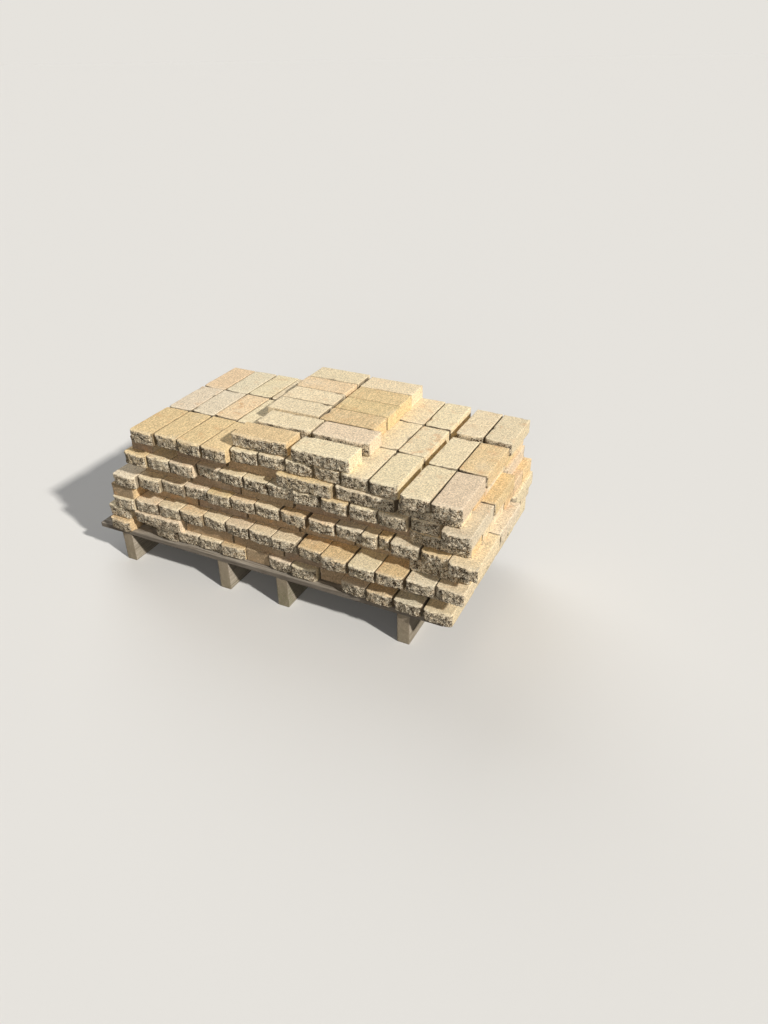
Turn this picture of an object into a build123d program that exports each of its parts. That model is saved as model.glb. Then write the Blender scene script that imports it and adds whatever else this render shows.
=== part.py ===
# Pallet of bricks: nine full courses of split-faced bricks and a part course on top,
# stacked dry by hand on a plain pallet of boards nailed across four bearers on edge.
# Millimetres, +Z up, +X along the front. The origin is on the floor, under the middle of the whole load.
from build123d import *
from math import asin, degrees
from random import Random
import os

os.makedirs("parts", exist_ok=True)

# Brick: two widths and a mortar joint make a length.
brick_length = 208
mortar_joint = 12
brick_width = (brick_length - mortar_joint) / 2
brick_height = 50
crown = 5              # how far the middle of a split face stands out past its corners
shoulder = 0.28        # share of a split face's width that each sloping shoulder takes
arris = 4              # worn edge above and below a split face
split_kinds = 5        # differently broken faces among the bricks

# Stack
clear = 0.6            # least gap between two neighbouring bricks
end_gap = 6            # usual gap between two rows of bricks whose ends face the front
side_gap = 3.5         # usual gap between the long sides of two bricks in a stretcher course
rows_deep = 3          # bricks from front to back where their ends face the front
stretcher_rows = 6     # bricks from front to back where their long sides face the front
unevenness = 3         # most that a brick stands forward of its line by chance
turned_front = 12      # front of the columns that lie the other way, behind the pallet's front edge
cracked_share = 0.56   # share of a cracked brick's width in its wider piece
cracked_slip = 4       # how far its narrower piece has slipped back
seed = 11

# Courses whose split ends face the front. left is where the first brick starts, from the pallet's left end,
# gap lies between two bricks, and parted adds to the gap in front of some. front says how far the ends stand
# behind the pallet's front edge, at five stations from left to right. back_row says how far the third row
# lies left of the two before it. forward names columns that stand further forward (or back, where negative),
# and short those whose front brick is broken short. broken is a column whose front brick has cracked in two
# along its length, and kept names columns whose third brick was not drawn forward with the others.
header_courses = {
    1: dict(count=14, left=68, gap=0.8, parted={13: 6, 14: 8}, front=(-6, 24, 24, 8, -10), back_row=0,
            forward={1: 8}, short={2: 55, 7: 45, 10: 35}),
    3: dict(count=14, left=100, gap=1, parted={9: 8, 11: 5, 13: 5}, front=(5, 28, 14, -22, -12), back_row=0,
            forward={1: 5, 4: 8}, short={}),
    5: dict(count=14, left=126, gap=1, parted={8: 5, 9: 11, 10: 2.2, 12: 5, 13: 5}, front=(2, 36, 33, 26, 4),
            back_row=26, forward={1: 8, 14: 16}, short={}, broken=11),
    7: dict(count=13, left=195, gap=1, parted={9: 6, 10: 6, 12: 4, 13: 14}, front=(2, 30, 25, 14, -6),
            back_row=34, forward={3: 12, 4: -8}, short={12: 28}),
    9: dict(count=12, left=250, gap=3.6, parted={11: 20}, front=(2, 6, 38, 28, 4), back_row=0,
            forward={4: 12, 5: -6, 11: 30, 12: 24}, short={}, kept=(11, 12)),
}

# Courses whose long sides face the front. inset is how far their right end stands in from that of the course
# below, and split names the front bricks that show their split long face. Where left is given, a column of
# bricks lies the other way there, past the slack that the bond leaves. It is number 0 in split where it shows
# split ends, and turned_back says how far it stands back from its usual line.
stretcher_courses = {
    2: dict(count=6, inset=11, gap=4, front=44, forward={1: 38}, split=(0, 1, 6), left=62),
    4: dict(count=6, inset=1, gap=3, front=46, forward={6: 14}, split=(6,), left=102),
    6: dict(count=6, inset=37, gap=6, front=42, forward={6: 10}, split=(6,)),
    8: dict(count=5, inset=44, gap=8, front=42, forward={3: 24, 4: 20, 5: 12}, split=(3, 4, 5), left=210,
            turned_back=30),
}

# The part course on top: two columns of six, whose first two bricks show their split long face. shifts say
# how far the bricks stand right of their column's line, and gaps what lies in front of each.
top_left_line = 648
top_columns = (
    dict(line=0, front=40, shifts=(7, 33, 0, -2, -10, -8), gaps=(0, 17, 17, 5, 4, 5)),
    dict(line=8, front=26, shifts=(24, 31, 0, 2, 0, -2), gaps=(0, 28, 8, 4, 4, 4)),
)
top_split_rows = 2


def course_length(count, gap, parted, **others):
    """Length of a course whose ends face the front."""
    return count * (brick_width + gap) - gap + sum(parted.values())


# Pallet: as long as the bottom course and as deep as three bricks, with a margin.
length_margin = 31
depth_margin = 8
pallet_length = course_length(**header_courses[1]) + length_margin
pallet_depth = rows_deep * (brick_length + end_gap) + depth_margin
board_count = 5
board_width = 96
board_thickness = 20
board_wear = 1.5       # worn long edges of the boards and bearers
bearer_width = 45
bearer_height = 120
bearer_set_back = 12   # bearer ends behind the outer edges of the front and back boards
left_bearer = 125      # middle of the outer bearers from the pallet's ends
right_bearer = 140
inner_bearers = (-145, 105)            # middles of the inner bearers from the pallet's middle

deck_height = bearer_height + board_thickness
right_ends = {number: course["left"] + course_length(**course) for number, course in header_courses.items()}
left_end = -max(pallet_length, *right_ends.values()) / 2     # the pallet's left end
front_edge = -pallet_depth / 2
chance = Random(seed)
split_faces = [
    (chance.uniform(0.6, 1), chance.uniform(0, 0.3), chance.uniform(0.6, 1)) for _ in range(split_kinds)
]


def split_plan(width, depth):
    """Plan of a brick about its middle, with a crowned split face of the given width towards -y."""
    x, y = width / 2, depth / 2
    slope = shoulder * width
    left_corner, left_shoulder, right_corner = (crown * share for share in chance.choice(split_faces))
    face = ((-x, left_corner - y), (slope - x, left_shoulder - y), (x - slope, -y), (x, right_corner - y))
    return face + ((x, y), (-x, y))


def plain_plan(width, depth):
    """Plan of a brick about its middle, with all its faces flat."""
    x, y = width / 2, depth / 2
    return (-x, -y), (x, -y), (x, y), (-x, y)


def small_turn(play):
    """A turn in degrees at which two bricks side by side, turned opposite ways, keep the least gap."""
    return chance.uniform(-1, 1) * degrees(asin(max(play - clear, 0) / brick_length))


def set_back(stations, share):
    """Distance behind the pallet's front edge at a share of a course's length, straight between stations."""
    place = share * (len(stations) - 1)
    step = min(int(place), len(stations) - 2)
    return stations[step] + (stations[step + 1] - stations[step]) * (place - step)


def laid(plan, left, front, turn):
    """A plan with the place of its middle, from its left side and front on the pallet."""
    width, depth = plan[-2][0] - plan[-1][0], 2 * plan[-1][1]
    return plan, Location((left_end + left + width / 2, front_edge + front + depth / 2, 0), turn)


def column(left, front, behind, play, short=0, back_row=0, shape=split_plan):
    """Bricks one behind another with an end to the front. The last has a line of its own."""
    bricks = []
    for row in range(rows_deep):
        last = row == rows_deep - 1
        missing = short if row == 0 else 0
        start = (behind if last else front) + row * (brick_length + end_gap) - chance.uniform(0, unevenness)
        plan = shape(brick_width, brick_length - missing)
        bricks.append(laid(plan, left - (back_row if last else 0), start + missing, small_turn(play)))
    return bricks


def cracked(left, front):
    """A brick cracked in two along its length, the narrower piece slipped a little back."""
    wide = cracked_share * brick_width
    narrow = brick_width - wide - clear
    first = laid(split_plan(wide, brick_length), left, front, 0)
    return [first, laid(split_plan(narrow, brick_length), left + wide + clear, front + cracked_slip, 0)]


def header_bricks(count, left, gap, parted, front, back_row, forward, short, broken=None, kept=()):
    """All bricks of a course whose ends face the front."""
    bricks = []
    lines = [set_back(front, (place + 0.5) / count) - forward.get(place + 1, 0) for place in range(count)]
    for place, line in enumerate(lines, 1):
        slack = sum(extra for spot, extra in parted.items() if spot <= place)
        start = left + (place - 1) * (brick_width + gap) + slack
        behind = line + (forward.get(place, 0) if place in kept else 0)
        if back_row and place > 1:
            behind = max(lines[place - 2], line)
        stack = column(start, line, behind, gap, short.get(place, 0), back_row)
        if place == broken:
            stack[:1] = cracked(start, line - unevenness)
        bricks += stack
    return bricks


def stretcher_bricks(below, count, inset, gap, front, forward, split, left=None, turned_back=0):
    """Bricks of a course whose long sides face the front: those with a split side, and all the others."""
    split_ones, plain_ones = [], []
    if left is not None:
        line = turned_front + turned_back
        shape, kind = (split_plan, split_ones) if 0 in split else (plain_plan, plain_ones)
        kind += column(left, line, line, side_gap, shape=shape)
    first = below - inset + gap - count * (brick_length + gap)
    for place in range(1, count + 1):
        for row in range(stretcher_rows):
            shows = row == 0 and place in split
            drawn = forward.get(place, 0) if row == 0 else 0
            plan = (split_plan if shows else plain_plan)(brick_length, brick_width)
            start = front + row * (brick_width + side_gap) - drawn
            brick = laid(plan, first + (place - 1) * (brick_length + gap), start, small_turn(side_gap))
            (split_ones if shows else plain_ones).append(brick)
    return split_ones, plain_ones


def top_bricks(columns):
    """Bricks of the part course: those with a split side, and all the others."""
    split_ones, plain_ones = [], []
    for number, line in enumerate(columns):
        front = line["front"] - brick_width
        for row, (shift, gap) in enumerate(zip(line["shifts"], line["gaps"])):
            shows = row < top_split_rows
            front += brick_width + gap
            plan = (split_plan if shows else plain_plan)(brick_length, brick_width)
            left = top_left_line + number * brick_length + line["line"] + shift
            (split_ones if shows else plain_ones).append(laid(plan, left, front, small_turn(side_gap)))
    return split_ones, plain_ones


def plans_on(level, bricks):
    """One sketch on a level with the plans of all the given bricks."""
    places = {}
    for plan, place in bricks:
        places.setdefault(plan, []).append(place)
    with BuildSketch(Plane.XY.offset(level)) as plans:
        for plan, spots in places.items():
            with Locations(*spots):
                Polygon(*plan, align=None)
    return plans.sketch


def wear_split_faces(part):
    """Chamfers the edges above and below every face that looks to the front."""
    facing = part.faces().filter_by(lambda face: face.normal_at().Y < -0.9)
    chamfer(facing.edges().filter_by(Plane.XY), arris)


def finish(part, name):
    """Names a part and writes it out."""
    part.label = name
    export_step(part, f"parts/{name}.step")


def bed(number):
    """Height of the underside of a course."""
    return deck_height + (number - 1) * brick_height


# Bearers: planks on edge that run from front to back.
deck_middle = left_end + pallet_length / 2
bearer_middles = (
    left_end + left_bearer,
    *(deck_middle + x for x in inner_bearers),
    left_end + pallet_length - right_bearer,
)
for number, middle in enumerate(bearer_middles, 1):
    with BuildPart() as bearer:
        with BuildSketch(Plane.XZ.offset(-front_edge - bearer_set_back)):
            with Locations((middle, 0)):
                Rectangle(bearer_width, bearer_height, align=(Align.CENTER, Align.MIN))
        extrude(amount=-(pallet_depth - 2 * bearer_set_back))
        chamfer(bearer.edges().filter_by(Axis.Y), board_wear)
    finish(bearer.part, f"bearer_{number}")

# Deck boards: laid across the bearers, evenly spaced from the front edge to the back edge.
board_pitch = (pallet_depth - board_width) / (board_count - 1)
for number in range(1, board_count + 1):
    with BuildPart() as board:
        with BuildSketch(Plane.XY.offset(bearer_height)):
            with Locations((deck_middle, front_edge + board_width / 2 + (number - 1) * board_pitch)):
                Rectangle(pallet_length, board_width)
        extrude(amount=board_thickness)
        chamfer(board.edges().filter_by(Axis.X), board_wear)
    finish(board.part, f"deck_board_{number}")

# Courses with their split ends to the front.
for number, course in header_courses.items():
    with BuildPart() as headers:
        extrude(plans_on(bed(number), header_bricks(**course)), brick_height)
        wear_split_faces(headers)
    finish(headers.part, f"brick_course_{number}")

# Courses with their long sides to the front, and one column at the left end lying the other way.
for number, course in stretcher_courses.items():
    split_ones, plain_ones = stretcher_bricks(right_ends[number - 1], **course)
    with BuildPart() as stretchers:
        extrude(plans_on(bed(number), split_ones), brick_height)
        wear_split_faces(stretchers)
        extrude(plans_on(bed(number), plain_ones), brick_height)
    finish(stretchers.part, f"brick_course_{number}")

# The part course: two columns of bricks side by side, the front brick of each a little apart.
top_number = max(header_courses) + 1
split_ones, plain_ones = top_bricks(top_columns)
with BuildPart() as top:
    extrude(plans_on(bed(top_number), split_ones), brick_height)
    wear_split_faces(top)
    extrude(plans_on(bed(top_number), plain_ones), brick_height)
finish(top.part, f"brick_course_{top_number}")
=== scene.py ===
# Pallet of buff split-faced bricks: meshes and finishes of the bricks, the boards and the bearers.
import bpy
import numpy as np
from math import radians
from mathutils import Euler, Matrix, Vector


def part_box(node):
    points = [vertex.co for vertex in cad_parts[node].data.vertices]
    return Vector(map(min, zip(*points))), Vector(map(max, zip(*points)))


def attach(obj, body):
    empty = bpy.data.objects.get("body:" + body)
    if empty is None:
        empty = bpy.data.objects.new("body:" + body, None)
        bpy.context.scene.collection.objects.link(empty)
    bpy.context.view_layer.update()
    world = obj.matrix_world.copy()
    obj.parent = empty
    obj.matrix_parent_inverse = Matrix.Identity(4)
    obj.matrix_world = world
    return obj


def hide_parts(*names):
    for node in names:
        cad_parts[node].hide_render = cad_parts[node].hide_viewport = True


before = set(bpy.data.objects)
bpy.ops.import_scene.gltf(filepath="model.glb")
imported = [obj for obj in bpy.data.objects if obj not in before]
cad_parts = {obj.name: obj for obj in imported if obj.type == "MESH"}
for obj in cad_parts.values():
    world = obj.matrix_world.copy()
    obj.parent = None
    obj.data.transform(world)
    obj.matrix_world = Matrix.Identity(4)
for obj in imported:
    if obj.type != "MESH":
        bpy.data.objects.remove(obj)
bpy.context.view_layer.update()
mm = 0.001
print("frame loaded:", len(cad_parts), "nodes")


# Chance and smooth noise

def hashed(cells, seed):
    # A number from 0 to 1 for each whole-number cell: its three indices, mixed by multiplying them and
    # folding their bits.
    mixed = (cells * np.array([374761393, 668265263, 1274126177], np.int64)).sum(-1) + seed * 362437
    mixed = (mixed ^ (mixed >> 13)) * 1103515245 & 0x7FFFFFFF
    mixed = (mixed ^ (mixed >> 15)) * 69069 & 0x7FFFFFFF
    return (mixed >> 7 & 0xFFFF) / 65535


def smoothNoise(points, size, seed):
    # Value noise from -1 to 1: the hashed values at a cell's eight corners, blended by 3t^2 - 2t^3 along
    # each axis.
    scaled = points / size
    cell = np.floor(scaled).astype(np.int64)
    t = scaled - cell
    t = t * t * (3 - 2 * t)
    total = np.zeros(len(points))
    for corner in np.ndindex(2, 2, 2):
        weight = np.prod(np.where(corner, t, 1 - t), axis=1)
        total += weight * hashed(cell + np.array(corner), seed)
    return total * 2 - 1


def roughNoise(points, size, seed, octaves=3, fall=0.5):
    # A sum of smooth noises, each with half the size of the last one and a smaller share.
    parts = [smoothNoise(points, size / 2 ** n, seed + n) * fall ** n for n in range(octaves)]
    return sum(parts) / sum(fall ** n for n in range(octaves))


def ramp(value, low, high):
    # 0 below low, 1 above high, and 3t^2 - 2t^3 between.
    t = np.clip((value - low) / (high - low), 0, 1)
    return t * t * (3 - 2 * t)


# Meshes

def faceLines(length, step, near):
    # Places of grid lines along one side, from -half to half: at the given distances from both ends, and
    # evenly spaced between.
    half = length / 2
    inner = half - near[-1]
    count = max(int(round(2 * inner / step)), 1)
    middle = np.linspace(-inner, inner, count + 1)
    return np.concatenate([-half + np.array(near[:-1]), middle, half - np.array(near[-2::-1])])


def boxGrid(xs, ys, zs):
    # Surface of a box as six grids of quads that share the points of their edges. A point of the box has
    # three indices into the lines xs, ys and zs, and one of them is the first or the last.
    nx, ny, nz = len(xs), len(ys), len(zs)
    index = np.full((nx, ny, nz), -1)
    outer = np.ones((nx, ny, nz), bool)
    outer[1:-1, 1:-1, 1:-1] = False
    index[outer] = np.arange(outer.sum())
    i, j, k = np.nonzero(outer)
    points = np.stack([xs[i], ys[j], zs[k]], axis=1)
    quads = []
    for sheet, outward in (
        (index[0], False), (index[-1], True),
        (index[:, 0], True), (index[:, -1], False),
        (index[:, :, 0], False), (index[:, :, -1], True),
    ):
        a, b, c, d = sheet[:-1, :-1], sheet[1:, :-1], sheet[1:, 1:], sheet[:-1, 1:]
        ring = (a, b, c, d) if outward else (d, c, b, a)
        quads.append(np.stack([part.ravel() for part in ring], axis=1))
    return points, np.concatenate(quads)


def worn(points, half, radius):
    # Arrises worn round: a point is pulled towards the box that is smaller by the radius, until it is one
    # radius away from it.
    radius = np.minimum(radius, half.min() * 0.9)[:, None]
    core = np.clip(points, -(half - radius), half - radius)
    out = points - core
    return core + out / np.maximum(np.linalg.norm(out, axis=1, keepdims=True), 1e-9) * radius


def meshObject(name, points, quads, attributes, material):
    # A smooth mesh object from arrays, with its place in its mesh.
    mesh = bpy.data.meshes.new(name)
    mesh.vertices.add(len(points))
    mesh.vertices.foreach_set("co", points.astype(np.float32).ravel())
    mesh.loops.add(quads.size)
    mesh.loops.foreach_set("vertex_index", quads.astype(np.int32).ravel())
    mesh.polygons.add(len(quads))
    mesh.polygons.foreach_set("loop_start", np.arange(0, quads.size, 4, dtype=np.int32))
    mesh.polygons.foreach_set("loop_total", np.full(len(quads), 4, np.int32))
    mesh.update(calc_edges=True)
    mesh.validate()
    for key, values in attributes.items():
        kind = "FLOAT_COLOR" if values.ndim == 2 else "FLOAT"
        layer = mesh.attributes.new(key, kind, "POINT")
        if values.ndim == 2:
            full = np.ones((len(values), 4), np.float32)
            full[:, :3] = values
            layer.data.foreach_set("color", full.ravel())
        else:
            layer.data.foreach_set("value", values.astype(np.float32))
    mesh.shade_smooth()
    mesh.materials.append(material)
    piece = bpy.data.objects.new(name, mesh)
    bpy.context.scene.collection.objects.link(piece)
    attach(piece, "root")
    return piece


def solidsOf(node):
    # The separate closed solids of a node, each as the array of its corners, in millimetres. Points at one
    # place are merged, and each takes the lowest label in its triangles until nothing changes.
    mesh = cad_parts[node].data
    places = np.zeros(len(mesh.vertices) * 3)
    mesh.vertices.foreach_get("co", places)
    mesh.calc_loop_triangles()
    triangles = np.zeros(len(mesh.loop_triangles) * 3, np.int64)
    mesh.loop_triangles.foreach_get("vertices", triangles)
    rounded = (places.reshape(-1, 3) / mm * 50).round() / 50
    corners, which = np.unique(rounded, axis=0, return_inverse=True)
    triangles = which.ravel()[triangles].reshape(-1, 3)
    labels = np.arange(len(corners))
    changed = True
    while changed:
        before = labels.copy()
        lowest = labels[triangles].min(axis=1)
        for side in range(3):
            np.minimum.at(labels, triangles[:, side], lowest)
        changed = (labels != before).any()
    return [corners[labels == label] for label in np.unique(labels)]


# Shader maths

class Wire:
    # One output of a shader node. Arithmetic on it adds Math nodes.
    def __init__(self, finish, socket):
        self.finish = finish
        self.socket = socket

    def __add__(self, other):
        return self.finish.maths("ADD", self, other)

    def __sub__(self, other):
        return self.finish.maths("SUBTRACT", self, other)

    def __rsub__(self, other):
        return self.finish.maths("SUBTRACT", other, self)

    def __mul__(self, other):
        return self.finish.maths("MULTIPLY", self, other)

    __radd__ = __add__
    __rmul__ = __mul__


class Finish:
    # The node tree of a material or of the sky, and short ways to add nodes to it.
    def __init__(self, owner, shaderName="Principled BSDF"):
        owner.use_nodes = True
        self.owner = owner
        self.tree = owner.node_tree
        self.shader = self.tree.nodes[shaderName]

    def node(self, kind, settings, values, outlet=0):
        # Any node: its settings first, then the values or wires of its sockets. Gives one of its outputs.
        made = self.tree.nodes.new(kind)
        for key, value in settings.items():
            setattr(made, key, value)
        for key, value in values.items():
            self.feed(made.inputs[key], value)
        return Wire(self, made.outputs[outlet])

    def feed(self, inlet, value):
        if isinstance(value, Wire):
            self.tree.links.new(value.socket, inlet)
        elif isinstance(value, tuple) and len(value) == 3 and inlet.type == "RGBA":
            inlet.default_value = (*value, 1)
        else:
            inlet.default_value = value

    def set(self, **values):
        for key, value in values.items():
            self.feed(self.shader.inputs[key.replace("_", " ")], value)

    def maths(self, operation, first, second):
        return self.node("ShaderNodeMath", {"operation": operation}, {0: first, 1: second})

    def between(self, value, low, high, start=0.0, end=1.0):
        # Carries low..high to start..end, smoothly and without leaving it.
        settings = {"interpolation_type": "SMOOTHSTEP"}
        return self.node("ShaderNodeMapRange", settings, {0: value, 1: low, 2: high, 3: start, 4: end})

    def blend(self, share, first, second, kind="MIX"):
        settings = {"data_type": "RGBA", "blend_type": kind, "clamp_factor": True}
        return self.node("ShaderNodeMix", settings, {0: share, 6: first, 7: second}, 2)

    def shaded(self, colour, level):
        # A colour made darker or lighter by a level.
        grey = self.node("ShaderNodeCombineColor", {}, {0: level, 1: level, 2: level})
        return self.blend(1.0, colour, grey, "MULTIPLY")

    def attribute(self, name, outlet="Fac"):
        return self.node("ShaderNodeAttribute", {"attribute_name": name}, {}, outlet)

    def objectPlace(self):
        return self.node("ShaderNodeTexCoord", {}, {}, "Object")

    def stretched(self, place, scale):
        return self.node("ShaderNodeVectorMath", {"operation": "MULTIPLY"}, {0: place, 1: scale})

    def noise(self, place, scale, detail=3, roughness=0.5, distortion=0.0):
        values = {"Vector": place, "Scale": scale, "Detail": detail}
        values |= {"Roughness": roughness, "Distortion": distortion}
        return self.node("ShaderNodeTexNoise", {}, values)

    def cells(self, place, scale, outlet="Distance"):
        return self.node("ShaderNodeTexVoronoi", {}, {"Vector": place, "Scale": scale}, outlet)

    def bump(self, height, distance, strength=1.0):
        values = {"Height": height, "Distance": distance, "Strength": strength}
        self.set(Normal=self.node("ShaderNodeBump", {}, values))


# Brick: the finish

brickLook = {
    "pitColour": (0.34, 0.23, 0.13),
    # Pale colour of salt and stones, which also paints the highlight on the upper rims of split faces.
    "paleAndHighlightColour": (0.88, 0.795, 0.62),
    "orangeColour": (0.66, 0.36, 0.16),
    "splitDark": (0.36, 0.25, 0.145),
    "splitLight": (0.98, 0.85, 0.63),
    # Near black of the holes in a split face: painted shade.
    "splitHoleShade": (0.07, 0.043, 0.022),
    # Dark of damp dirt low down, and of the painted shade in the joints between bricks.
    "dirtAndShadeColour": (0.15, 0.11, 0.07),
    "sandScale": 150.0,       # cells to the metre, as for the other scales
    "gritScale": 210.0,
    "pitScale": 130.0,
    "blotchScale": 24.0,
    "stoneScale": 175.0,
    "crumbScale": 250.0,
    "holeScale": 280.0,
    "patchScale": 55.0,
    "strokeScale": 260.0,     # fine strokes of the wire that cut the clay
    "strokeTurn": 0.7,        # their turn in plan, in radians
    "strokeSqueeze": 0.08,    # what their pattern is squeezed to on one axis, which draws them out
    "grainSpan": (0.36, 0.64),    # between these a noise goes from its dark grains to its light ones
    "gritShade": (0.78, 1.26),
    "sandShade": (0.89, 1.14),
    "strokeShade": 0.16,
    "orangeShare": 0.7,
    "saltShare": 0.25,
    "pitShare": 0.7,
    "smoothRimHighlight": 0.25,        # how strongly a painted highlight pales the upper rim of a split face, on the smooth side
    "splitRimHighlight": 0.35,         # and on the broken side
    "crumbSpan": (0.42, 0.56),
    "stoneShare": 0.8,        # most that a pale stone shows on a split face
    "clayShare": 0.45,        # most that the brick's own tint shows there
    "holeSpan": (0.86, 0.90),
    "holeShare": 0.95,
    "thinnestShare": 0.55,       # how much of the dirt and of the painted shade in the joints stays where the blotches thin them most
    "toneSpread": (0.94, 1.04),       # how much lighter or darker one brick is than its tint
    "hueSpread": (0.985, 1.015),
    "brownAndShadeEdge": (5.0, 1.5),  # depths between which the brown and painted shade of a smooth front begins
    "jointShadeEdge": (0.6, 3.0),  # depths below a brick's top between which the painted shade in its joints begins
    "roughness": (0.84, 0.98),
    "smoothHeights": {"sand": 0.2, "grit": 0.7, "pits": 1.2, "strokes": 0.25},
    "splitHeights": {"crumbs": 2.4, "stones": 0.9, "holes": 2.8},
    "splitRelief": 1.3,       # height of the grain on a split face, against that on a smooth one
    "bumpHeight": 1.3,
    "specular": 0.2,
}


def brickFinish():
    look = brickLook
    finish = Finish(bpy.data.materials.new("sandy_buff_brick"))
    place = finish.objectPlace()
    tint = finish.attribute("tint", "Color")
    split = finish.attribute("split")
    rim = finish.attribute("rim")
    drag = finish.attribute("drag")
    blotch = finish.noise(place, look["blotchScale"], 4, 0.6)

    # The smooth, sandy sides
    sand = finish.noise(place, look["sandScale"], 2, 0.6)
    grit = finish.noise(place, look["gritScale"], 4, 0.7)
    wideBlotch = finish.noise(place, look["blotchScale"] / 3, 3, 0.5)
    pitChance = finish.noise(place, look["pitScale"] / 2.5, 2, 0.5)
    pits = finish.cells(place, look["pitScale"])
    pitMask = finish.between(pits, 0.32, 0.16) * finish.between(pitChance, 0.55, 0.66)
    turn, squeeze = (0.0, 0.0, look["strokeTurn"]), (1.0, look["strokeSqueeze"], 1.0)
    leaning = finish.node("ShaderNodeMapping", {}, {"Vector": place, "Rotation": turn, "Scale": squeeze})
    strokes = drag * finish.between(finish.noise(leaning, look["strokeScale"], 2, 0.5), 0.58, 0.40)
    speckle = finish.between(grit, *look["grainSpan"], *look["gritShade"])
    speckle = speckle * finish.between(sand, *look["grainSpan"], *look["sandShade"])
    body = finish.shaded(tint, speckle * (1 - strokes * look["strokeShade"]))
    amber = finish.attribute("amber") * finish.between(blotch, 0.52, 0.74)
    body = finish.blend(amber * look["orangeShare"], body, look["orangeColour"])
    salt = finish.between(wideBlotch, 0.54, 0.76, 0.0, look["saltShare"])
    body = finish.blend(salt, body, look["paleAndHighlightColour"])
    body = finish.blend(pitMask * look["pitShare"], body, look["pitColour"])
    # Painted highlight: the upper rim of a split face is paled.
    body = finish.blend(rim * look["smoothRimHighlight"], body, look["paleAndHighlightColour"])

    # The split faces: dark and light crumbs, pale stones, patches of the brick's tint, holes darkened
    # nearly black as painted shade, and a painted highlight on the upper rim
    stoneColour = finish.cells(place, look["stoneScale"], "Color")
    stones = finish.node("ShaderNodeSeparateColor", {}, {0: stoneColour})
    crumbs = finish.noise(place, look["crumbScale"], 3, 0.6)
    broken = finish.blend(finish.between(crumbs, *look["crumbSpan"]), look["splitDark"], look["splitLight"])
    stoneShare = finish.between(stones, 0.55, 0.95, 0.0, look["stoneShare"])
    broken = finish.blend(stoneShare, broken, look["paleAndHighlightColour"])
    broken = finish.blend(finish.between(blotch, 0.46, 0.68, 0.0, look["clayShare"]), broken, tint)
    patches = finish.noise(place, look["patchScale"], 2, 0.5)
    holes = finish.noise(place, look["holeScale"], 2, 0.6) + patches * 0.6
    holeShare = finish.between(holes, *look["holeSpan"], 0.0, look["holeShare"])
    broken = finish.blend(holeShare, broken, look["splitHoleShade"])
    # Painted highlight on the upper rim, on the broken side too.
    broken = finish.blend(rim * look["splitRimHighlight"], broken, look["paleAndHighlightColour"])

    colour = finish.blend(split, body, broken)
    # Damp dirt, and painted shade in the joints between bricks.
    dirtAndShade = finish.attribute("dirtAndJointShade") * finish.between(blotch, 0.25, 0.7, 1.0, look["thinnestShare"])
    colour = finish.blend(dirtAndShade, colour, look["dirtAndShadeColour"])
    finish.set(Base_Color=colour, Roughness=finish.between(grit, 0.3, 0.7, *look["roughness"]))
    finish.set(Specular_IOR_Level=look["specular"])
    smooth, rough = look["smoothHeights"], look["splitHeights"]
    fineHeight = sand * smooth["sand"] + grit * smooth["grit"]
    fineHeight = fineHeight - pitMask * smooth["pits"] - strokes * smooth["strokes"]
    roughHeight = crumbs * rough["crumbs"] + stones * rough["stones"]
    roughHeight = roughHeight - finish.between(holes, 0.80, 0.94) * rough["holes"]
    height = fineHeight * (1 - split) + roughHeight * split * look["splitRelief"]
    finish.bump(height, look["bumpHeight"] * mm)
    return finish.owner


# Brick: the shape

brickShape = {
    "arris": 2.4,             # usual radius of a worn arris
    "arrisWander": 0.9,       # how much of it wanders
    # Forms of a split face: the size of each, and how far it goes in or out.
    "hollows": (26.0, 4.0),
    "creases": (17.0, 3.0),
    "grains": (8.5, 2.6),
    "bumpMost": 3.0,          # most that a form stands out
    "splitEdge": 7.0,         # width of the crumbled band round a split face
    "splitEdgeDepth": 6.5,
    "splitEdgeLean": (1.8, 1.8, 2.0),     # how far it leans in at the sides, the top and the bottom
    "splitEdgeShare": (0.8, 0.65, 1.2),   # share of its depth that it has at the sides, top and bottom
    "splitEdgeCalm": (0.75, 0.4),     # how much flatter the forms are in it, at the top and below
    "crumble": {"size": 20.0, "usual": 0.55, "swing": 0.9, "span": (0.12, 1.35)},
    "splitBack": (-7.0, -1.0),    # how far a whole split face lies back
    "splitTilt": 4.0,         # most that it leans back at its left or right, and below
    "splitForward": 8.0,      # most that it may stand out
    "splitReach": 16.0,       # how far behind a split face its forms die away
    "narrower": (1.0, 3.4),   # how much narrower than its node a brick is, which opens the joints
    "sandyRim": (1.0, 4.5),   # least height of the worn sandy rim above a split face, and its spread
    "raggedEnd": (4.0, 5.0),  # least depth of the broken colour behind a split face, and its spread
    # Smooth ends in the bottom course, by column from the left, and how far they stand before their nodes.
    "plainEnds": {1: {7: 32.0, 10: 0.0}},
    "plainColumns": 14,
    "jointShadeReach": 16.0,        # a side with a neighbour nearer than this is darkened with painted shade
    "frontBack": {4: 31.0, 6: 28.0, 8: 24.0},     # how far smooth fronts stand behind the nodes', by course
    "frontSpread": (0.85, 1.15),      # shares of it that come by chance
    "swell": (60.0, 0.25),    # size of the slow bulges of every side, and how far they go in or out
    "chips": (2, 5),          # fewest and most chips on a brick that shows
    "chipSize": (5.0, 15.0),
    "chipDepth": (1.5, 5.0),
    "nearLines": (0.0, 1.3, 3.6),     # grid lines beside an edge
    "splitLines": (0.0, 1.5, 4.0, 7.5, 12.0, 18.0),    # grid lines behind a split face
    "splitStep": 3.3,         # spacing of the grid over a split face
    "topStep": 8.5,           # spacing on a brick whose top shows
    "sideStep": 16.0,
    "hiddenStep": 60.0,
    # A brick shows at the front, the back or a side if its middle is within this of the outermost one.
    "frontReach": 85.0,
    "backReach": 60.0,
    "sideReach": 75.0,
    "dampHeights": (120.0, 420.0),    # dirt from damp is full below the first, and gone above the second
    "dampShare": 0.14,
}
seed = 41
chance = np.random.default_rng(seed)


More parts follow.
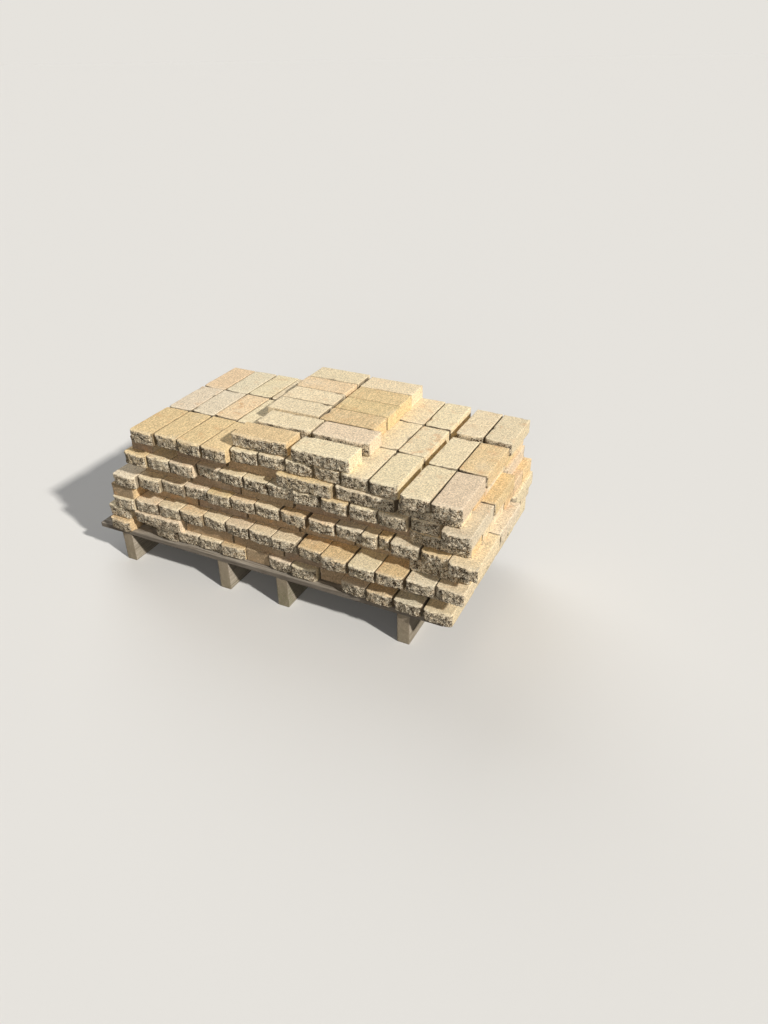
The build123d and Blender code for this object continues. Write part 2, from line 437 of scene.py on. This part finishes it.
def readBrick(corners):
    # Place of a brick from its solid's corners. Its back edge gives its turn and width, and the points of
    # its front between the arrises give the crown of a split face, as distances behind the foremost point.
    level = corners[:, 2].min()
    height = corners[:, 2].max() - level
    flat = corners[:, :2]
    backLeft = flat[(flat @ (-1, 1)).argmax()]
    backRight = flat[(flat @ (1, 1)).argmax()]
    width = np.linalg.norm(backRight - backLeft)
    along = (backRight - backLeft) / width
    behind = np.array([-along[1], along[0]])
    middle = (backLeft + backRight) / 2
    local = np.stack([(flat - middle) @ along, (flat - middle) @ behind], axis=1)
    depth = -local[:, 1].min()
    isSplit = len(corners) > 8
    crown = np.array([[-width / 2, 0.0], [width / 2, 0.0]])
    if isSplit:
        front = (abs(corners[:, 2] - level - height / 2) < height / 2 - 1) & (local[:, 1] < -depth / 2)
        crown = np.unique(np.stack([local[front, 0], local[front, 1] + depth], axis=1).round(1), axis=0)
    centre = middle - behind * depth / 2
    return {
        "centre": np.array([*centre, level + height / 2]), "along": along, "behind": behind,
        "size": np.array([width, depth, height]), "split": isSplit, "crown": crown,
    }


def gridLines(brick, detail):
    # Grid lines along a brick's three sides. Where its split face shows they lie close together across it,
    # and for a stretch behind it.
    shape = brickShape
    width, depth, height = brick["size"]
    near = shape["nearLines"]
    if "front" in detail and brick["split"]:
        behindFace = np.array(shape["splitLines"])
        step = shape["topStep"] if "top" in detail else shape["sideStep"]
        start, end = -depth / 2 + behindFace[-1] + step, depth / 2 - near[-1]
        rest = np.linspace(start, end, max(int((end - start) / step), 2))
        lines = np.concatenate([-depth / 2 + behindFace, rest, depth / 2 - np.array(near[-2::-1])])
        across, upward = (faceLines(length, shape["splitStep"], near) for length in (width, height))
        return across, lines, upward
    if not detail:
        return [faceLines(length, shape["hiddenStep"], (0.0, 3.0)) for length in brick["size"]]
    step = shape["topStep"] if "top" in detail or "front" in detail else shape["sideStep"]
    return [faceLines(length, step, near) for length in brick["size"]]


def splitFace(brick, flat, points, shift):
    # Bends the front of a brick into a split face: the crown, hollows, creases and grains going in and out,
    # the whole face leaning by chance, and a crumbled band at its rim. Gives the share of broken colour and
    # the upper rim at each point, which the finish paints pale as a painted highlight.
    shape = brickShape
    half = brick["size"] / 2
    front = ramp(-flat[:, 1], half[1] - shape["splitReach"], half[1] - 1)
    across = np.interp(flat[:, 0], brick["crown"][:, 0], brick["crown"][:, 1])
    face = flat * (1, 0.3, 1) + shift
    size, deep = shape["hollows"]
    relief = roughNoise(face, size, seed + 5, 4, 0.66) * deep
    size, deep = shape["creases"]
    relief += ramp(-abs(roughNoise(face, size, seed + 7, 3, 0.6)), -0.16, 0.0) * deep
    size, deep = shape["grains"]
    relief += roughNoise(face, size, seed + 9, 2, 0.8) * deep
    isUpper = flat[:, 2] > 0
    rimX = ramp(abs(flat[:, 0]), half[0] - shape["splitEdge"], half[0])
    rimZ = ramp(abs(flat[:, 2]), half[2] - shape["splitEdge"], half[2])
    atSides, atTop, atBottom = shape["splitEdgeShare"]
    rim = np.maximum(rimX * atSides, rimZ * np.where(flat[:, 2] < 0, atBottom, atTop))
    broken = shape["crumble"]
    crumble = broken["usual"] + broken["swing"] * roughNoise(face, broken["size"], seed + 11, 4, 0.65)
    crumble = np.clip(crumble, *broken["span"])
    lie = chance.uniform(*shape["splitBack"])
    lie += chance.uniform(0, shape["splitTilt"]) * (1 + chance.choice((-1, 1)) * flat[:, 0] / half[0])
    lie += chance.uniform(0, shape["splitTilt"]) * (1 - flat[:, 2] / half[2]) / 2
    relief = np.maximum(relief, -shape["bumpMost"]) * (1 - rim * np.where(isUpper, *shape["splitEdgeCalm"]))
    back = across + lie + relief + rim * crumble * shape["splitEdgeDepth"]
    points[:, 1] += front * np.maximum(back, -shape["splitForward"])
    leanIn, leanDown, leanUp = shape["splitEdgeLean"]
    lean = ramp(-flat[:, 1], half[1] - 12, half[1] - 1) * crumble
    points[:, 2] -= np.where(isUpper, leanDown, -leanUp) * rimZ * lean
    points[:, 0] -= np.sign(flat[:, 0]) * rimX * lean * leanIn
    least, spread = shape["raggedEnd"]
    ragged = least + spread * crumble
    split = ramp(-flat[:, 1], half[1] - ragged, half[1] - ragged * 0.35)
    least, spread = shape["sandyRim"]
    sandy = least + spread * crumble
    split *= 1 - ramp(flat[:, 2], half[2] - sandy * 1.4, half[2] - sandy * 0.7)
    # The upper rim, which the finish paints pale: a painted highlight.
    return split, front * rimZ * isUpper


def chipOff(points, half, split):
    # Chips at the edges: what stands above a slanted plane there is pushed down onto it, and less so
    # further away.
    low, high = brickShape["chips"]
    for _ in range(chance.integers(low, high + 1)):
        edge = half * chance.choice((-1, 1), 3)
        axis = chance.integers(0, 3)
        edge[axis] = chance.uniform(-half[axis], half[axis])
        outward = np.sign(edge) * np.where(np.arange(3) == axis, chance.uniform(-0.3, 0.3), 1.0)
        outward /= np.linalg.norm(outward)
        reach = chance.uniform(*brickShape["chipSize"])
        depth = chance.uniform(*brickShape["chipDepth"])
        closeness = np.exp(-(((points - edge) / reach) ** 2).sum(1))
        over = np.maximum((points - edge) @ outward + depth, 0) * closeness
        points -= over[:, None] * outward
        split = np.maximum(split, np.clip(over / 2.0, 0, 0.8))
    return split


def brickMesh(brick, detail, number):
    # A box grid, bent to the brick: worn arrises with a radius that wanders, the split face, chips where it
    # shows, and slow bulges of its sides.
    shape = brickShape
    half = brick["size"] / 2
    flat, quads = boxGrid(*gridLines(brick, detail))
    shift = np.array([number * 371.3, number * 97.1, number * 53.9])
    wander = roughNoise(flat + shift, 16.0, seed, 3, 0.6)
    points = worn(flat, half, shape["arris"] * (1 + shape["arrisWander"] * wander))
    split = np.zeros(len(points))
    rim = np.zeros(len(points))
    if brick["split"]:
        split, rim = splitFace(brick, flat, points, shift)
    if detail:
        split = chipOff(points, half, split)
    size, deep = shape["swell"]
    swell = roughNoise(flat + shift, size, seed + 21, 1) * deep
    points += swell[:, None] * np.sign(flat) * (0.6, 0.6, 0.2)
    outward = np.sign(flat[:, :2]) * (abs(flat[:, :2]) > half[:2] - 0.1)
    return points, quads, {"split": split, "rim": rim, "outward": outward}


# Tints of the bricks' sandy surfaces: the middle colour, how often it comes, and how much the wire dragged.
brickTints = {
    "golden": ((0.815, 0.615, 0.34), 2, 0.8),
    "cream": ((0.82, 0.69, 0.465), 8, 0.2),
    "pale": ((0.76, 0.66, 0.48), 3, 0.1),
    "peach": ((0.82, 0.63, 0.40), 1, 0.5),
    "pinkish": ((0.79, 0.64, 0.45), 3, 0.1),
    "tan": ((0.78, 0.58, 0.33), 1, 1.0),
}
# Tints of the smooth sides and ends at the front: the brown of the kiln, made darker than the same bricks'
# other sides as painted shade of the course above.
frontBrownAndShade = ((0.38, 0.275, 0.18), (0.42, 0.31, 0.19), (0.35, 0.26, 0.18), (0.44, 0.315, 0.19))
# Tints of the columns of a course from the left, where a strip of their tops shows.
columnTints = {
    3: "cream pinkish cream peach cream pinkish cream cream golden golden cream golden pale cream",
}
# Tints of the bricks on top, column by column from the left and front to back in each column.
topTints = {
    9: "golden pale peach golden pale pale golden peach cream golden cream cream cream cream cream "
       "cream cream cream cream cream cream peach cream golden cream cream cream cream cream cream "
       "cream cream cream pinkish golden cream",
    10: "golden cream cream cream peach cream cream pinkish tan golden golden cream",
}
topColumns = {9: 12, 10: 2}


def insideAny(spots, bricks):
    # 1 for each spot in plan that lies inside one of the bricks, otherwise 0.
    inside = np.zeros(len(spots))
    for brick in bricks:
        apart = spots - brick["centre"][:2]
        across = abs(apart @ brick["along"]) < brick["size"][0] / 2
        deep = abs(apart @ brick["behind"]) < brick["size"][1] / 2
        inside = np.maximum(inside, across & deep)
    return inside


def columnOrder(bricks, columns):
    # Ranks of bricks that stand in equal columns: by column from left to right, then from front to back.
    places = np.array([brick["centre"] for brick in bricks])
    byColumn = np.argsort(places[:, 0]).reshape(columns, -1)
    ordered = np.concatenate([column[np.argsort(places[column, 1])] for column in byColumn])
    return np.argsort(ordered)


def courseTints(number, bricks):
    # The name of each brick's tint: as listed for the course, or by chance.
    names = list(brickTints)
    odds = np.array([brickTints[name][1] for name in names], float)
    drawn = chance.choice(names, len(bricks), p=odds / odds.sum())
    if number in topTints:
        return np.array(topTints[number].split())[columnOrder(bricks, topColumns[number])]
    if number in columnTints:
        listed = np.array(columnTints[number].split())
        return listed[columnOrder(bricks, len(listed)) * len(listed) // len(bricks)]
    return drawn


def plainEndsOf(number, bricks):
    # How far each smooth end of a course stands before its node, by the brick's place in the list.
    plain = brickShape["plainEnds"].get(number, {})
    if not plain:
        return {}
    columns = brickShape["plainColumns"]
    rows = len(bricks) // columns
    ranks = columnOrder(bricks, columns)
    columnOf = {place: rank // rows + 1 for place, rank in enumerate(ranks) if rank % rows == 0}
    return {place: plain[column] for place, column in columnOf.items() if column in plain}


def detailOf(centre, low, high, number):
    # Where a brick shows, from the place of its middle between the course's lowest and highest ones.
    shape = brickShape
    detail = set()
    if centre[1] < low[1] + shape["frontReach"]:
        detail.add("front")
    if number in topTints:
        detail.add("top")
    isOuter = centre[0] < low[0] + shape["sideReach"] or centre[0] > high[0] - shape["sideReach"]
    if isOuter or centre[1] > high[1] - shape["backReach"]:
        detail.add("side")
    return detail


def moveFront(brick, forward):
    # Brings a brick's front forward, or back where that is negative. Its back stays where it is.
    brick["size"][1] += forward
    brick["centre"][:2] -= brick["behind"] * forward / 2


def courseMesh(node, number):
    # All bricks of one course as one mesh, with the attributes that their finish reads.
    shape, look = brickShape, brickLook
    bricks = [readBrick(corners) for corners in solidsOf(node)]
    centres = np.array([brick["centre"] for brick in bricks])
    low, high = centres.min(axis=0), centres.max(axis=0)
    tints = courseTints(number, bricks)
    plain = plainEndsOf(number, bricks)
    points, quads = [], []
    layers = {key: [] for key in ("tint", "split", "rim", "amber", "drag", "jointShade")}
    count = 0
    for place, brick in enumerate(bricks):
        detail = detailOf(brick["centre"], low, high, number)
        if place in plain:
            brick["split"] = False
            moveFront(brick, plain[place])
        isLong = brick["size"][0] > brick["size"][1]
        brick["size"][0] -= chance.uniform(*shape["narrower"])
        smoothFront = "front" in detail and not brick["split"]
        if smoothFront and isLong:
            moveFront(brick, -shape["frontBack"].get(number, 0) * chance.uniform(*shape["frontSpread"]))
        local, faces, marks = brickMesh(brick, detail, number * 50 + place)
        along, behind = brick["along"], brick["behind"]
        spot = brick["centre"][:2] + local[:, :1] * along + local[:, 1:2] * behind
        points.append(np.column_stack([spot, local[:, 2] + brick["centre"][2]]))
        quads.append(faces + count)
        count += len(local)

        colour, _, dragged = brickTints[tints[place]]
        tone = np.array(colour) * chance.uniform(*look["toneSpread"])
        tone = tone * chance.uniform(*look["hueSpread"], 3)
        tones = np.tile(tone, (len(local), 1))
        # A smooth front is tinted brown on its front face only: the kiln's brown and painted shade of the
        # course above.
        if smoothFront:
            brownAndShade = ramp(-local[:, 1:2], *(brick["size"][1] / 2 - depth for depth in look["brownAndShadeEdge"]))
            tones += brownAndShade * (frontBrownAndShade[chance.integers(len(frontBrownAndShade))] - tones)
        outward = marks["outward"]
        # Painted shade: a side that faces a near neighbour is darkened below the top, where the joint lies
        # in shade.
        jointShade = np.zeros(len(local))
        if detail:
            beside = spot + (outward[:, :1] * along + outward[:, 1:] * behind) * shape["jointShadeReach"]
            jointShade = insideAny(beside, bricks) * outward.any(axis=1)
            jointShade *= ramp(brick["size"][2] / 2 - local[:, 2], *look["jointShadeEdge"])
        layers["tint"].append(tones)
        layers["split"].append(marks["split"])
        layers["rim"].append(marks["rim"])
        layers["amber"].append(np.full(len(local), chance.uniform(0, 1) ** 2))
        layers["drag"].append(np.full(len(local), dragged))
        layers["jointShade"].append(jointShade)
    points = np.concatenate(points)
    attributes = {key: np.concatenate(parts) for key, parts in layers.items()}
    damp = 1 - ramp(points[:, 2], *shape["dampHeights"])
    damp *= 0.6 + 0.4 * roughNoise(points, 140.0, seed + 31, 3)
    # Damp dirt low down, together with the painted shade in the joints.
    attributes["dirtAndJointShade"] = np.maximum(shape["dampShare"] * damp, attributes.pop("jointShade"))
    return points * mm, np.concatenate(quads), attributes


brickMaterial = brickFinish()
courseCount = sum(node.startswith("brick_course_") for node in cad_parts)
for number in range(1, courseCount + 1):
    node = f"brick_course_{number}"
    points, quads, attributes = courseMesh(node, number)
    piece = meshObject(f"bricks_{number}", points, quads, attributes, brickMaterial)
    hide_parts(node)
    print("course", number, "triangles", 2 * len(quads))


# Timber

woodLook = {
    "deckLight": (0.42, 0.375, 0.31),
    "deckDark": (0.13, 0.105, 0.08),
    "bearerLight": (0.52, 0.45, 0.36),
    "bearerDark": (0.21, 0.17, 0.125),
    "moss": (0.17, 0.19, 0.08),
    "mossOnDeck": 0.25,
    "mossOnBearers": 0.8,
    "endGrain": (0.36, 0.29, 0.20),
    "fibreScale": 240.0,      # cells to the metre, as for the other scales
    "bandScale": 30.0,
    "blotchScale": 9.0,
    "fleckScale": 160.0,
    "drawnOut": 20.0,         # how many times longer the grain is along the plank than across
    "bandShare": 0.55,
    "blotchShare": 0.5,
    "endShare": 0.7,          # how much of the end grain's colour a sawn end has
    "sideShadeShare": 0.5,         # how much darker a deck board's front and back faces are: painted shade
    "roughness": (0.78, 0.95),
    "specular": 0.25,
    "bumpHeight": 1.2,
}


def timberFinish(name, along, light, dark, mossShare):
    look = woodLook
    finish = Finish(bpy.data.materials.new(name))
    place = finish.objectPlace()
    squeeze = tuple(1 / look["drawnOut"] if axis == along else 1.0 for axis in range(3))
    fibre = finish.stretched(place, squeeze)
    grain = finish.noise(fibre, look["fibreScale"], 5, 0.65, 0.4)
    bands = finish.noise(fibre, look["bandScale"], 3, 0.5, 0.8)
    blotch = finish.noise(place, look["blotchScale"], 3, 0.55)
    fleck = finish.noise(place, look["fleckScale"], 3, 0.6)
    colour = finish.blend(finish.between(grain, 0.34, 0.66), dark, light)
    colour = finish.blend(finish.between(bands, 0.35, 0.7, 0.0, look["bandShare"]), colour, light)
    colour = finish.blend(finish.between(blotch, 0.45, 0.75, 0.0, look["blotchShare"]), colour, dark)
    colour = finish.blend(finish.attribute("cut") * look["endShare"], colour, look["endGrain"])
    # Painted shade on the front and back faces of the deck boards.
    colour = finish.blend(finish.attribute("edge") * look["sideShadeShare"], colour, dark)
    damp = finish.attribute("damp")
    colour = finish.blend(damp * finish.between(fleck, 0.35, 0.6) * mossShare, colour, look["moss"])
    finish.set(Base_Color=colour, Roughness=finish.between(grain, 0.3, 0.7, *look["roughness"]))
    finish.set(Specular_IOR_Level=look["specular"])
    finish.bump(grain + bands * 0.5, look["bumpHeight"] * mm, 0.8)
    return finish.owner


timberShape = {
    "arris": 1.8,
    "arrisWander": 0.6,
    "grooves": (9.0, 0.7),    # width and depth of the grooves of the grain
    "drawnOut": 20.0,         # how many times longer they are along the plank than across
    "raggedEnds": (7.0, 1.2),     # size of the steps in a sawn end, and their depth
    "boardBack": 11.0,        # how far the front board stands behind its node, flush with the bearers' ends
    "nearLines": (0.0, 1.0, 3.0),
    "lineStep": 14.0,
    "faceStep": 5.0,
    "dampHeights": (20.0, 130.0),     # the green is full below the first, and gone above the second
    "dampest": "bearer_3",
    "otherDamp": 0.35,
}


def timberMesh(node, along, number):
    # A plank between the corners of its node: a box grid with worn arrises, grooves of the grain and ragged
    # ends. The grooves are smooth noise, drawn out along the plank.
    shape = timberShape
    low, high = (np.array(corner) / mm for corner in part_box(node))
    half = (high - low) / 2
    isAlong = np.arange(3) == along
    steps = np.where(isAlong, shape["lineStep"], shape["faceStep"])
    lines = [faceLines(2 * size, step, shape["nearLines"]) for size, step in zip(half, steps)]
    flat, quads = boxGrid(*lines)
    shift = np.array([number * 211.7, number * 87.3, number * 145.1])
    wander = roughNoise(flat + shift, 40.0, seed + 41, 2)
    points = worn(flat, half, shape["arris"] * (1 + shape["arrisWander"] * wander))
    width, deep = shape["grooves"]
    drawn = flat * np.where(isAlong, 1 / shape["drawnOut"], 1.0)
    groove = roughNoise(drawn + shift, width, seed + 43, 2, 0.6)
    inward = np.where(isAlong, 0.0, np.sign(points) * (abs(points) > half - 1.5))
    points = points - inward * ((groove + 1) / 2 * deep)[:, None]
    ends = ramp(abs(flat[:, along]), half[along] - 1, half[along])
    size, deep = shape["raggedEnds"]
    ragged = roughNoise(flat * ~isAlong + shift, size, seed + 47, 2)
    points[:, along] -= np.sign(flat[:, along]) * ends * (ragged + 1) * deep
    points = points + (low + high) / 2 + (0, shape["boardBack"] if node == "deck_board_1" else 0, 0)
    damp = 1 - ramp(points[:, 2], *shape["dampHeights"])
    damp *= 0.6 + 0.4 * roughNoise(points, 90.0, seed + 51, 3)
    damp *= 1.0 if node == shape["dampest"] else shape["otherDamp"]
    # Painted shade: marks the front and back faces of the deck boards, which the finish darkens.
    edge = (abs(flat[:, 1]) > half[1] - 0.1) * (1.0 if along == 0 else 0.0)
    return points * mm, quads, {"cut": ends, "damp": np.clip(damp, 0, 1), "edge": edge}


look = woodLook
deck = timberFinish("weathered_deck_board", 0, look["deckLight"], look["deckDark"], look["mossOnDeck"])
bearer = timberFinish("mossy_bearer", 1, look["bearerLight"], look["bearerDark"], look["mossOnBearers"])
planks = [(node, 0, deck, "deck_wood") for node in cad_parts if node.startswith("deck_board_")]
planks += [(node, 1, bearer, "bearer_wood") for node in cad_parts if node.startswith("bearer_")]
for number, (node, along, material, slot) in enumerate(sorted(planks, key=lambda plank: plank[0])):
    points, quads, attributes = timberMesh(node, along, number)
    piece = meshObject(f"{node}_timber", points, quads, attributes, material)
    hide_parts(node)
print("timber made:", len(planks), "pieces")


# Floor, light and camera

studio = {
    "floorSize": 240.0,
    "floorColour": (0.78, 0.77, 0.75),
    "floorUnseen": (0.13, 0.12, 0.105),   # what the floor throws back at the load
    "skyLevel": (0.10, 0.10, 0.10),
    # For each lamp: where it stands, what it alone gives a white surface that faces it, the angle in
    # radians that it fills, and its colour.
    "lamps": {
        "key": ((0.79, -0.25, 0.56), 1.13, 0.05, (1.0, 0.97, 0.92)),
        "front": ((0.30, -0.90, 0.30), 0.24, 0.5, (1.0, 0.98, 0.95)),
        "fill": ((-0.55, 0.55, 0.63), 0.28, 0.7, (0.96, 0.98, 1.0)),
        "over": ((0.0, 0.25, 1.0), 0.04, 0.6, (1.0, 0.99, 0.97)),
    },
}


def paleFloor():
    # A flat square that the camera sees pale and the load sees dark.
    half = studio["floorSize"] / 2
    corners = [(-half, -half, 0), (half, -half, 0), (half, half, 0), (-half, half, 0)]
    mesh = bpy.data.meshes.new("floor")
    mesh.from_pydata(corners, [], [(0, 1, 2, 3)])
    finish = Finish(bpy.data.materials.new("pale_floor"))
    seen = finish.node("ShaderNodeLightPath", {}, {}, "Is Camera Ray")
    finish.set(Base_Color=finish.blend(seen, studio["floorUnseen"], studio["floorColour"]))
    finish.set(Roughness=1.0, Specular_IOR_Level=0.0)
    mesh.materials.append(finish.owner)
    floor = bpy.data.objects.new("floor", mesh)
    bpy.context.scene.collection.objects.link(floor)


def softSun(name, place, level, angle, colour):
    # A sun that fills an angle of the sky. Its strength over pi is the level that it gives a surface that
    # faces it.
    lamp = bpy.data.lights.new(name, "SUN")
    lamp.energy = level * np.pi
    lamp.angle = angle
    lamp.color = colour
    holder = bpy.data.objects.new(name, lamp)
    holder.rotation_mode = "QUATERNION"
    holder.rotation_quaternion = Vector(place).to_track_quat("Z", "Y")
    bpy.context.scene.collection.objects.link(holder)


def skyLight():
    # An even white sky, which a ray from the camera sees in the colour of the far floor: the floor's own
    # colour times what the sky and the lamps give a level surface.
    light = np.array(studio["skyLevel"])
    for place, level, _, colour in studio["lamps"].values():
        light = light + np.array(colour) * level * Vector(place).normalized().z
    farFloor = tuple(np.array(studio["floorColour"]) * light)
    sky = Finish(bpy.data.worlds.new("studio"), "Background")
    seen = sky.node("ShaderNodeLightPath", {}, {}, "Is Camera Ray")
    sky.set(Color=sky.blend(seen, studio["skyLevel"], farFloor), Strength=1.0)
    bpy.context.scene.world = sky.owner


photoCamera = {
    "place": (1.3404, -2.1130, 1.7400),
    "turn": (58.28, 0.72, 25.78),     # degrees from looking straight down: raised, rolled, and swung left
    "focalPixels": 775.6,
    "longSidePixels": 1024,
    "sensor": 36.0,
    "clip": (0.05, 60),
}


def photoView():
    look = photoCamera
    data = bpy.data.cameras.new("camera")
    data.sensor_fit = "AUTO"
    data.sensor_width = look["sensor"]
    data.lens = look["focalPixels"] / look["longSidePixels"] * look["sensor"]
    data.clip_start, data.clip_end = look["clip"]
    holder = bpy.data.objects.new("camera", data)
    turn = Euler([radians(angle) for angle in look["turn"]])
    holder.matrix_world = Matrix.LocRotScale(Vector(look["place"]), turn, None)
    bpy.context.scene.collection.objects.link(holder)
    bpy.context.scene.camera = holder


paleFloor()
for name, values in studio["lamps"].items():
    softSun(name, *values)
skyLight()
photoView()
bpy.context.scene.view_settings.view_transform = "Standard"
print("studio ready")
